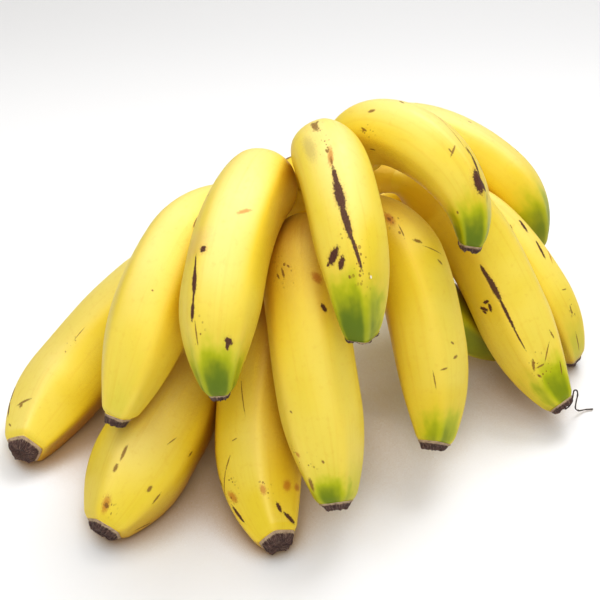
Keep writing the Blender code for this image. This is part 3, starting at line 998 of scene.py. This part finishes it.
class BANANAS_OT_thread(bpy.types.Operator):
    """Builds the thin dried thread at the right finger's blossom end"""

    bl_idname = "bananas.thread"
    bl_label = "Thread"

    def execute(self, context):
        knots = np.array([place_above(pixel, height) for pixel, height in THREAD_PATH])
        share = np.linspace(0.0, len(knots) - 1.0, THREAD_RINGS)
        order = np.arange(len(knots))
        path = np.stack([np.interp(share, order, knots[:, axis]) for axis in range(3)], axis=-1)
        for _ in range(4):
            path[1:-1] = (path[:-2] + 2.0 * path[1:-1] + path[2:]) / 4.0
        tangent, side, top = carried_frames(path)
        shell = bmesh.new()
        made = bmesh.ops.create_circle(shell, cap_ends=True, segments=THREAD_SIDES, radius=MM)
        ring = made["verts"]
        face = ring[0].link_faces[0]
        for i in range(THREAD_RINGS):
            if i:
                face = bmesh.ops.extrude_discrete_faces(shell, faces=[face])["faces"][0]
                ring = list(face.verts)
            radius = THREAD_RADIUS * (1.0 + 0.5 * noise.noise(Vector((i * 0.35, 0.0, 0.0))))
            for j, vertex in enumerate(ring):
                a = math.tau * j / len(ring)
                vertex.co = millimetres(*(path[i] + radius * (math.cos(a) * top[i] + math.sin(a) * side[i])))
        bmesh.ops.recalc_face_normals(shell, faces=shell.faces)
        mesh = bpy.data.meshes.new("blossom_thread")
        shell.to_mesh(mesh)
        shell.free()
        material, _, shader = new_material("dried_thread")
        shader.inputs["Base Color"].default_value = from_screen(60, 48, 44)
        shader.inputs["Roughness"].default_value = 0.8
        mesh.materials.append(material)
        finish_piece("blossom_thread", mesh)
        return {"FINISHED"}


# Painted shadow: how far (m) the occlusion under the fruit reaches and the warm tint it lays on the floor; and
# the painted shade that greys the floor further back
PAINTED_SHADOW_DISTANCE = 0.08
PAINTED_SHADOW_TINT = (0.58, 0.4, 0.2, 1.0)
FLOOR_GRAIN = (0.8, 0.8, 0.8, 1.0)
FLOOR_FALLOFF_SHADE = (0.7, 0.7, 0.7, 1.0)
FLOOR_FAR_FROM = 0.16
FLOOR_FAR_TO = 0.42
FLOOR_HALF_SIZE = 3.0

# The lamps: place, what they aim at and diameter (m). They are a little cooler than the fill.
KEY_LAMP = ((0.3, 0.5, 1.0), (0.0, 0.0, 0.05), 0.6)
FRONT_LAMP = ((0.0, -0.8, 0.9), (0.0, 0.0, 0.05), 0.7)
TOP_LAMP = ((-0.1, 0.05, 1.3), (0.0, 0.0, 0.0), 1.3)
LAMP_COLOUR = (0.98, 1.0, 1.05)
FILL_COLOUR = (1.0, 0.86, 0.6, 1.0)


def floor_material(settings):
    material, shading, shader = new_material("paper")
    room = shading.add("ShaderNodeTexCoord").outputs["Object"]
    grain = shading.noise(room, 400.0, 3.0)
    deep = shading.add("ShaderNodeSeparateXYZ", {0: room}).outputs["Y"]
    tone = shading.mix(shading.ramp(grain, 0.3, 0.7, 0.0, 0.05), settings.floor, FLOOR_GRAIN)
    # painted shade: the floor turns greyer further back, away from the lamps
    tone = shading.mix(shading.ramp(deep, FLOOR_FAR_FROM, FLOOR_FAR_TO), tone, FLOOR_FALLOFF_SHADE)
    # painted shadow: the floor is darkened and warmed under and around the fruit
    near = shading.add("ShaderNodeAmbientOcclusion", {"Distance": PAINTED_SHADOW_DISTANCE}, samples=8)
    painted_shadow = shading.mix(1.0, tone, PAINTED_SHADOW_TINT, "MULTIPLY")
    tone = shading.mix(shading.ramp(near.outputs["AO"], 0.66, 0.2), tone, painted_shadow)
    shading.tree.links.new(tone, shader.inputs["Base Color"])
    shader.inputs["Roughness"].default_value = 0.75
    shader.inputs["Specular IOR Level"].default_value = 0.2
    return material


def add_light(name, place, aim, size, power):
    lamp = bpy.data.lights.new(name, "AREA")
    lamp.shape = "DISK"
    lamp.size = size
    lamp.energy = power
    lamp.color = LAMP_COLOUR
    light = bpy.data.objects.new(name, lamp)
    light.location = place
    light.rotation_euler = (Vector(aim) - Vector(place)).to_track_quat("-Z", "Y").to_euler()
    bpy.context.scene.collection.objects.link(light)


class BANANAS_OT_studio(bpy.types.Operator):
    """Builds the pale floor, the soft lights and the camera at the photograph's angle"""

    bl_idname = "bananas.studio"
    bl_label = "Studio"

    def execute(self, context):
        scene = context.scene
        settings = scene.banana_studio
        shell = bmesh.new()
        bmesh.ops.create_grid(shell, x_segments=1, y_segments=1, size=FLOOR_HALF_SIZE)
        mesh = bpy.data.meshes.new("floor")
        shell.to_mesh(mesh)
        shell.free()
        floor = bpy.data.objects.new("floor", mesh)
        scene.collection.objects.link(floor)
        mesh.materials.append(floor_material(settings))
        add_light("key", *KEY_LAMP, settings.key_power)
        add_light("front", *FRONT_LAMP, settings.front_power)
        add_light("top", *TOP_LAMP, settings.top_power)
        world = bpy.data.worlds.new("soft_light")
        scene.world = world
        world.use_nodes = True
        background = world.node_tree.nodes["Background"]
        background.inputs["Color"].default_value = FILL_COLOUR
        background.inputs["Strength"].default_value = settings.fill
        eye, forward, right, up = camera_frame()
        lens = bpy.data.cameras.new("camera")
        lens.sensor_width = SENSOR_WIDTH
        lens.lens = FOCAL_PIXELS / FRAME_PIXELS * SENSOR_WIDTH
        lens.dof.use_dof = False
        camera = bpy.data.objects.new("camera", lens)
        turn = Matrix((right, up, -forward)).transposed().to_4x4()
        camera.matrix_world = Matrix.Translation((eye + HAND_SHIFT) * MM) @ turn
        scene.collection.objects.link(camera)
        scene.camera = camera
        scene.view_settings.view_transform = "Standard"
        return {"FINISHED"}


class BANANAS_PT_sidebar(bpy.types.Panel):
    bl_label = "Hand of bananas"
    bl_idname = "BANANAS_PT_sidebar"
    bl_space_type = "VIEW_3D"
    bl_region_type = "UI"
    bl_category = "Bananas"

    def draw(self, context):
        layout = self.layout
        for operator in ("bananas.fingers", "bananas.crown", "bananas.thread", "bananas.studio"):
            layout.operator(operator)
        for settings in (context.scene.banana_peel, context.scene.banana_crown, context.scene.banana_studio):
            for name in settings.__annotations__:
                layout.prop(settings, name)


CLASSES = (
    PeelSettings, CrownSettings, StudioSettings, BANANAS_OT_fingers, BANANAS_OT_crown, BANANAS_OT_thread,
    BANANAS_OT_studio, BANANAS_PT_sidebar,
)


def register():
    for item in CLASSES:
        bpy.utils.register_class(item)
    bpy.types.Scene.banana_peel = bpy.props.PointerProperty(type=PeelSettings)
    bpy.types.Scene.banana_crown = bpy.props.PointerProperty(type=CrownSettings)
    bpy.types.Scene.banana_studio = bpy.props.PointerProperty(type=StudioSettings)


def unregister():
    del bpy.types.Scene.banana_studio
    del bpy.types.Scene.banana_crown
    del bpy.types.Scene.banana_peel
    for item in reversed(CLASSES):
        bpy.utils.unregister_class(item)


def main():
    register()
    bpy.ops.bananas.fingers()
    bpy.ops.bananas.crown()
    bpy.ops.bananas.thread()
    bpy.ops.bananas.studio()


if __name__ == "__main__":
    main()
